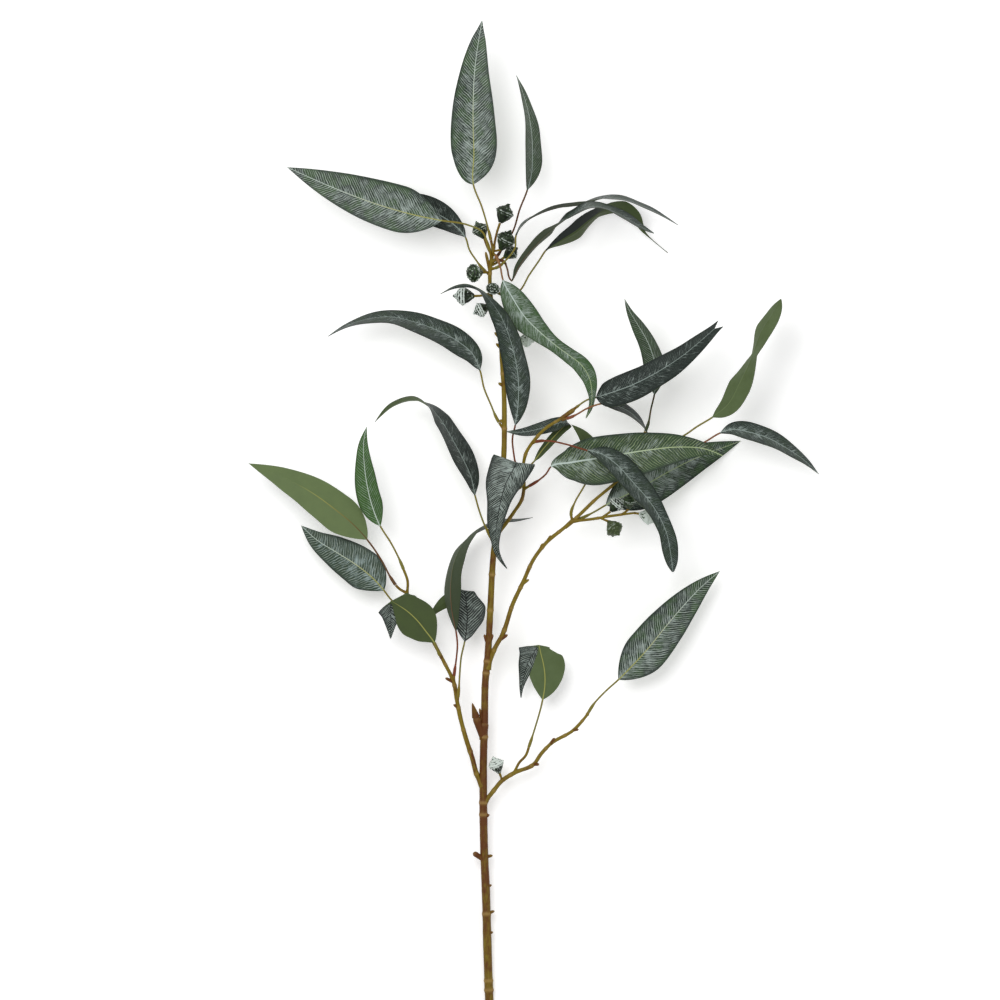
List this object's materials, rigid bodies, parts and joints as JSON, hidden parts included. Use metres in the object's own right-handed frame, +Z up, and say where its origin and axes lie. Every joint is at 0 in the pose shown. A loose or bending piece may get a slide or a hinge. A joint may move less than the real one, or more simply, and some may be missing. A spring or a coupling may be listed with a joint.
{
  "type": "eucalyptus branch",
  "caption": "Long eucalyptus branch with slender veined leaves, some curled or folded, side shoots and small ribbed gumnuts on a thin woody stem, lying down.",
  "frame": {"origin": "on the surface, under the middle of the whole branch as seen from above", "axes": "+Y from the cut end of the stem towards the crown, +X to the right with the crown away from the viewer, +Z up from the surface"},
  "size_m": [0.5707, 0.9993, 0.1032],
  "materials": {
    "wood": "matt, olive brown",
    "leaf_green": "satin, dark grey-green above and plain green below",
    "nut_green": "satin, dark green with a pale bloom"
  },
  "bodies": {
    "root": {"stem": "wood", "leaf_crown_top": "leaf_green", "leaf_crown_narrow": "leaf_green", "leaf_crown_high_arch": "leaf_green", "leaf_crown_middle_arch": "leaf_green", "leaf_crown_low_arch": "leaf_green", "leaf_crown_left": "leaf_green", "leaf_crown_rear": "leaf_green", "leaf_crown_bent": "leaf_green", "leaf_stem_upper_arch": "leaf_green", "leaf_stem_lower_arch": "leaf_green", "leaf_stem_hanging": "leaf_green", "leaf_stem_folded": "leaf_green", "leaf_twig_curled": "leaf_green", "leaf_twig_broad": "leaf_green", "leaf_twig_long": "leaf_green", "leaf_twig_dark": "leaf_green", "leaf_twig_short": "leaf_green", "leaf_right_rear": "leaf_green", "leaf_right_low": "leaf_green", "leaf_right_upright": "leaf_green", "leaf_right_twisted": "leaf_green", "leaf_right_outer": "leaf_green", "leaf_left_upright": "leaf_green", "leaf_left_pale": "leaf_green", "leaf_left_frosted": "leaf_green", "leaf_left_folded": "leaf_green", "leaf_left_slender": "leaf_green", "leaf_left_curled": "leaf_green", "leaf_low_long": "leaf_green", "leaf_low_folded": "leaf_green", "gumnut_crown_1": "nut_green", "gumnut_crown_2": "nut_green", "gumnut_crown_3": "nut_green", "gumnut_crown_4": "nut_green", "gumnut_crown_5": "nut_green", "gumnut_crown_6": "nut_green", "gumnut_crown_7": "nut_green", "gumnut_crown_8": "nut_green", "gumnut_crown_9": "nut_green", "gumnut_low": "nut_green", "gumnut_right_1": "nut_green", "gumnut_right_2": "nut_green", "gumnut_right_3": "nut_green", "gumnut_right_4": "nut_green"}
  },
  "joints": []
}
